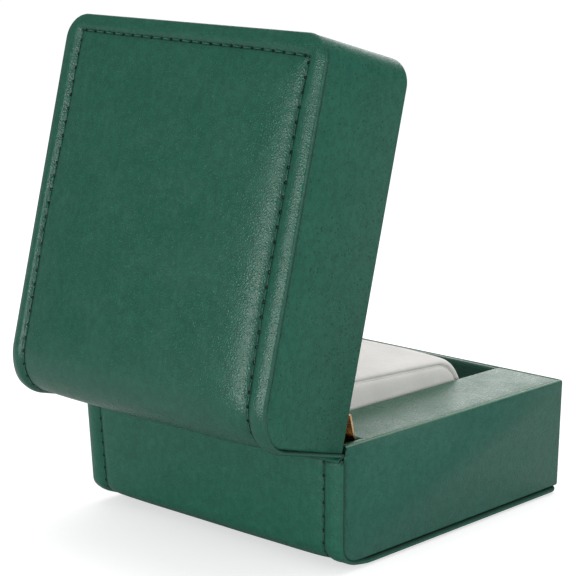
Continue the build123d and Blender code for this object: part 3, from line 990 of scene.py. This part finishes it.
def cushion_outline(count=170):
    """Points with outward directions round the side of the cushion, evenly spaced.

    Its five arcs, each with a centre, a radius and two angles, touch one another or are joined by straight
    runs. They are the front of the top, the nose, the lower front, the lower rear and the rear.
    """
    front_centre, front_radius, front_turn = Vector((-25.2, 34.1)), 16.7, 145
    nose_radius = 44.0
    nose_centre = front_centre + front_radius * heading(front_turn) - nose_radius * heading(front_turn)
    arcs = [
        (front_centre, front_radius, 92.5, front_turn),
        (nose_centre, nose_radius, front_turn, 180),
        ((nose_centre.x - 32.0, nose_centre.y), 12.0, 180, 270),
        ((29.1, nose_centre.y + 2.0), 14.0, 270, 360),
        ((23.1, 32.9), 20.0, 360, 452.5),
    ]
    steps = 60
    dense = []
    for centre, radius, first, last in arcs:
        for step in range(steps + 1):
            dense.append(Vector(centre) + radius * heading(first + (last - first) * step / steps))
    dense.append(dense[0])
    lengths = [0.0]
    for here, there in zip(dense, dense[1:]):
        lengths.append(lengths[-1] + (there - here).length)
    points, after = [], 1
    for step in range(count):
        target = lengths[-1] * step / count
        while lengths[after] < target:
            after += 1
        share = (target - lengths[after - 1]) / max(1e-6, lengths[after] - lengths[after - 1])
        points.append(dense[after - 1].lerp(dense[after], share))
    outward = []
    for index, point in enumerate(points):
        tangent = points[(index + 1) % count] - points[index - 1]
        outward.append(Vector((tangent.y, -tangent.x)).normalized())
    return points, outward


def cushion_block(name, material, section, crown, shrink=0.0):
    """Closed cushion. The section lists how far inside the outline and how far across each ring is.

    The band is crowned over its width and sags a little on top. The seams pucker, most at the front.
    """
    points, outward = cushion_outline()
    point_gap, seam_inset, seam_width = 1.5, 2.3, 1.1
    rings = section + [(inset, -x) for inset, x in reversed(section) if x]
    bm = bmesh.new()
    bmesh.ops.create_grid(bm, x_segments=len(rings) - 1, y_segments=len(points), size=0.5)
    for vert in bm.verts:
        inset, x = rings[round((vert.co.x + 0.5) * (len(rings) - 1))]
        index = round((vert.co.y + 0.5) * len(points)) % len(points)
        point, out, length = points[index], outward[index], index * point_gap
        top = smooth(-0.2, 0.8, out.y)
        rise = crown * (0.35 + 0.65 * top) * max(0.0, 1 - (x / CUSHION_BAND_HALF) ** 2)
        on_band = abs(x) < CUSHION_SEAM_FROM
        sag = 0.1 * ripple(x / 13, length / 17, 2.0) * top * on_band
        seam = 0.0 if on_band else math.exp(-(((inset - seam_inset) / seam_width) ** 2))
        tight = 0.25 + 0.75 * smooth(0.1, 0.6, -out.x) * top
        drawn = 0.3 * seam * tight * (ripple(length / 1.7, 1.0 if x < 0 else 5.0, 3.0) - 0.2)
        place = point + out * (rise + sag + drawn - inset - shrink)
        vert.co = (x * (1 - shrink / CUSHION_HALF) + math.copysign(0.6 * drawn, x), place.x, place.y)
    bmesh.ops.remove_doubles(bm, verts=bm.verts, dist=0.001)
    bmesh.ops.holes_fill(bm, edges=[edge for edge in bm.edges if edge.is_boundary], sides=0)
    return finish_piece(bm, name, "cushion", material, levels=0 if shrink else 1)


def cushion():
    """Cover of the cushion: a band that rolls over to a seam at each side panel, and the foam in it."""
    side_panel = [(9.0, -25.75), (5.5, -25.75), (3.9, -25.6), (3.3, -25.3), (3.0, -24.75), (2.8, -24.4)]
    rolled_edge = [(2.6, -24.6), (2.3, -25.2), (1.85, -25.45), (1.3, -25.4), (0.75, -25.05), (0.35, -24.5)]
    band = [(0.1, -23.8), (0.0, -22.8), *((0.0, x) for x in (-19.5, -15.0, -10.0, -5.0, 0.0))]
    crown, section = 0.8, side_panel + rolled_edge + band
    cover = cushion_block("cushion_cover", ivory, section, crown)
    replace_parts(cover, "cushion_band", "cushion_panel_left", "cushion_panel_right")
    core = [(9.0, -24.9), (3.0, -24.6), (1.0, -24.0), (0.0, -22.5), (0.0, -15.0), (0.0, -7.0), (0.0, 0.0)]
    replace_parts(cushion_block("cushion_foam", foam, core, crown, shrink=0.9), "cushion_core")


def lid_panel():
    """Padded panel under the top of the lid, fuller in its middle."""
    panel = pad(
        "lid_inner_panel",
        x_range=(-46.0, 46.0),
        y_range=(-54.0, 45.6),
        edges=(2.0, 2.0, 2.0, 2.0),
        top=74.9,
        segments=(36, 40),
        material=ivory,
        sink=4.5,
        body="lid",
        crown=1.6,
        up=-1,
    )
    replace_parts(panel, "lid_inner_pad")


rims()
lid_panel()
cushion()


def hinge_fold():
    """The leathercloth between the two halves of the wrap, tucked in while the lid is open."""
    bm = bmesh.new()
    half_width = 54.2
    path = [
        (61.9, 37.2),
        (62.2, 38.0),
        (61.9, 38.5),
        (61.45, 38.85),
        (61.5, 39.2),
        (61.9, 39.3),
        (62.2, 39.6),
    ]
    bmesh.ops.create_grid(bm, x_segments=44, y_segments=len(path) - 1, size=0.5)
    for vert in bm.verts:
        y, z = path[round((vert.co.y + 0.5) * (len(path) - 1))]
        x = vert.co.x * 2 * half_width
        leans = 1 - smooth(38.0, 39.2, z)
        vert.co = (x, y + base_lean(x, z) * leans, z)
    piece = finish_piece(bm, "hinge_fold_leather", None, fold_green, levels=1)
    add_thickness(piece, 0.5, 0.0)
    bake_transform(piece)
    return piece


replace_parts(hinge_fold(), "hinge_fold")


# Floor, light and camera


def stage_floor():
    """Pale floor. The camera sees it white, with the shadow of the object on it."""
    half_size, grey, glow = 12.0, 0.66, 0.6
    bm = bmesh.new()
    bmesh.ops.create_grid(bm, x_segments=1, y_segments=1, size=half_size)
    mesh = bpy.data.meshes.new("floor")
    bm.to_mesh(mesh)
    bm.free()
    floor = bpy.data.objects.new("floor", mesh)
    bpy.context.scene.collection.objects.link(floor)
    finish = Finish("pale floor", 0.9, specular=0.0)
    finish.paint((grey, grey, grey))
    seen = finish.node("LightPath", output="Is Camera Ray")
    finish.shader.inputs["Emission Color"].default_value = (1, 1, 1, 1)
    feed(finish.tree, finish.shader.inputs["Emission Strength"], seen * glow)
    mesh.materials.append(finish.material)


def world_light():
    """White backdrop that lights the object more dimly, with soft windows that only reflections show.

    The front window gives the sides and rims their gloss. The three small ones behind, one over the
    other, give the lid its sheen.
    """
    ambient, mirrored_wall = 0.62, 0.20
    front_window, front_brightness = ((0.60, -0.76, 0.26), 0.88, 0.985), 2.3
    rear_heights_and_brightness = ((0.14, 2.2), (0.23, 3.0), (0.32, 4.4))
    world = bpy.data.worlds.new("studio")
    bpy.context.scene.world = world
    world.use_nodes = True
    tree = world.node_tree
    background = tree.nodes["Background"]
    direction = tree.nodes.new("ShaderNodeTexCoord").outputs["Generated"]
    path = tree.nodes.new("ShaderNodeLightPath")
    seen, mirrored = Value(tree, path.outputs["Is Camera Ray"]), Value(tree, path.outputs["Is Glossy Ray"])

    def window(towards, low, high):
        """How far a direction lies in a soft round window, by the cosine of its angle from the middle."""
        facing = tree.nodes.new("ShaderNodeVectorMath")
        facing.operation = "DOT_PRODUCT"
        tree.links.new(direction, facing.inputs[0])
        facing.inputs[1].default_value = Vector(towards).normalized()
        share = tree.nodes.new("ShaderNodeMapRange")
        share.interpolation_type = "SMOOTHSTEP"
        for slot, item in zip(share.inputs, (Value(tree, facing.outputs["Value"]), low, high, 0.0, 1.0)):
            feed(tree, slot, item)
        return Value(tree, share.outputs[0])

    glow = window(*front_window) * front_brightness
    for height, brightness in rear_heights_and_brightness:
        glow = glow + window((0.20, 0.95, height), 0.991, 0.999) * brightness
    strength = seen * (1 - ambient) + ambient + mirrored * (glow - (ambient - mirrored_wall))
    feed(tree, background.inputs["Strength"], strength)
    background.inputs["Color"].default_value = (1, 1, 1, 1)


def soft_light(name, place, target, size, power):
    lamp = bpy.data.lights.new(name, "AREA")
    lamp.shape, lamp.size, lamp.size_y = "RECTANGLE", size[0], size[1]
    lamp.energy = power
    light = bpy.data.objects.new(name, lamp)
    light.location = place
    light.rotation_euler = (Vector(target) - Vector(place)).to_track_quat("-Z", "Y").to_euler()
    bpy.context.scene.collection.objects.link(light)


stage_floor()
world_light()
soft_light("top softbox", (0.1, -0.2, 1.2), (0, 0, 0.08), (1.2, 1.0), 5.0)
soft_light("side softbox", (-1.3, 0.1, 0.35), (0, 0, 0.05), (0.9, 0.6), 3.8)
soft_light("rear softbox", (-0.1, 1.2, 0.16), (0, 0, 0.06), (0.7, 0.28), 5.6)

camera_data = bpy.data.cameras.new("camera")
camera_data.lens, camera_data.sensor_width = 122.68, 36.0
camera_data.clip_start, camera_data.clip_end = 0.05, 40.0
camera = bpy.data.objects.new("camera", camera_data)
camera.location = (-0.420855, 0.522512, 0.211186)
camera.rotation_mode = "QUATERNION"
camera.rotation_quaternion = (-0.2760022, -0.2108223, 0.5969979, 0.7231668)
bpy.context.scene.collection.objects.link(camera)
bpy.context.scene.camera = camera
bpy.context.scene.view_settings.view_transform = "Standard"
